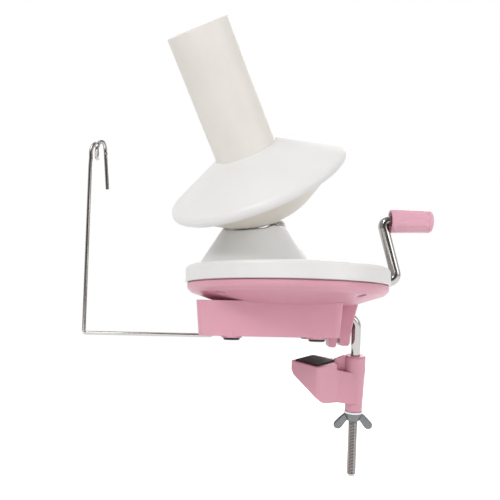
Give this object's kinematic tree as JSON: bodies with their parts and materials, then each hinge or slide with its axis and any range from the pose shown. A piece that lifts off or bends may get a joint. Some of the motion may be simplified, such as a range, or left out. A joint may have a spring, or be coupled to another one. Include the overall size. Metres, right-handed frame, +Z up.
{
  "type": "yarn cone winder",
  "caption": "Table-clamped yarn winder: a hand crank turns a round turntable, which carries a tilted spinning flange and core tube, beside a bent wire yarn guide.",
  "frame": {"origin": "where the turntable's vertical axis meets the table top that the feet stand on", "axes": "+Z up along the turntable's axis, +X towards the crank and the clamp, -Y towards the user"},
  "size_m": [0.2302, 0.1526, 0.2776],
  "materials": {
    "pink_plastic": "smooth moulded dusty pink",
    "knob_plastic": "smooth moulded pink with soft flutes",
    "white_plastic": "smooth moulded white",
    "gear_plastic": "natural acetal",
    "tube_plastic": "warm white moulding",
    "black_rubber": "matt black",
    "chrome_rod": "bright plated steel",
    "zinc": "zinc-plated steel",
    "zinc_cast": "zinc-grey casting",
    "bush_brass": "turned bush"
  },
  "bodies": {
    "base": {"base_housing": "pink_plastic", "rubber_feet": "black_rubber", "gear_cover": "white_plastic", "cover_screws": "zinc", "sun_gear": "gear_plastic", "sun_gear_screws": "zinc", "thrust_washer": "gear_plastic", "crank_bush_outer": "bush_brass", "crank_bush_inner": "bush_brass"},
    "turntable": {"turntable_disc": "white_plastic", "turntable_gear": "gear_plastic", "turntable_gear_pin": "zinc", "turntable_axle": "chrome_rod", "turntable_axle_pin": "zinc", "turntable_retainer": "white_plastic", "retainer_screws": "zinc", "spindle_housing": "white_plastic", "housing_screws": "zinc", "spindle_bush_upper": "bush_brass", "spindle_bush_lower": "bush_brass"},
    "spindle": {"spindle_shaft": "chrome_rod", "spindle_circlip": "zinc", "spindle_pinion": "gear_plastic", "spindle_pinion_pin": "zinc", "flange_bowl": "white_plastic", "flange_cone": "white_plastic", "spindle_core": "white_plastic", "spindle_core_screw": "zinc"},
    "tube": {"core_tube": "tube_plastic"},
    "crank": {"crank_bar": "chrome_rod", "crank_gear": "gear_plastic", "crank_gear_pin": "zinc", "knob_retaining_clip": "zinc"},
    "knob": {"crank_knob": "knob_plastic", "knob_end_cap": "knob_plastic"},
    "guide": {"yarn_guide_wire": "chrome_rod"},
    "clamp": {"clamp_rod": "chrome_rod", "clamp_rod_clip": "zinc"},
    "jaw": {"clamp_jaw": "pink_plastic", "jaw_pad": "black_rubber", "clamp_washer": "zinc"},
    "nut": {"wing_nut": "zinc_cast"}
  },
  "joints": [
    {"name": "turntable_spin", "type": "hinge", "parent": "base", "child": "turntable", "pos_m": [0, 0, 0.04], "axis": [0, 0, 1], "continuous": true},
    {"name": "spindle_spin", "type": "hinge", "parent": "turntable", "child": "spindle", "pos_m": [0, 0, 0.0538], "axis": [-0.3765, -0.4551, 0.807], "continuous": true},
    {"name": "tube_slide", "type": "slide", "parent": "spindle", "child": "tube", "axis": [-0.3765, -0.4551, 0.807], "range_m": [0, 0.08]},
    {"name": "crank_spin", "type": "hinge", "parent": "base", "child": "crank", "pos_m": [0, 0, 0.01358], "axis": [0.9336, 0, 0.3584], "continuous": true},
    {"name": "knob_spin", "type": "hinge", "parent": "crank", "child": "knob", "pos_m": [0.08, 0, 0.0795], "axis": [1, 0, 0], "continuous": true},
    {"name": "guide_swing", "type": "hinge", "parent": "base", "child": "guide", "pos_m": [-0.0512, 0, 0], "axis": [0, 0, 1], "range_deg": [-20, 20]},
    {"name": "clamp_swing", "type": "hinge", "parent": "base", "child": "clamp", "pos_m": [0.03, 0, 0.015], "axis": [1, 0, 0], "range_deg": [-31, 9]},
    {"name": "jaw_slide", "type": "slide", "parent": "clamp", "child": "jaw", "axis": [0, -0.1908, 0.9816], "range_m": [-0.036, 0.005]},
    {"name": "nut_spin", "type": "hinge", "parent": "jaw", "child": "nut", "pos_m": [0.0457, 0.0124, -0.04881], "axis": [0, -0.1908, 0.9816], "range_deg": [-12960, 1800]}
  ],
  "couplings": [
    {"joint": "spindle_spin", "follows": "turntable_spin", "ratio": -3.2},
    {"joint": "crank_spin", "follows": "turntable_spin", "ratio": -1},
    {"joint": "nut_spin", "follows": "jaw_slide", "rad_per_m": 6283.2}
  ]
}
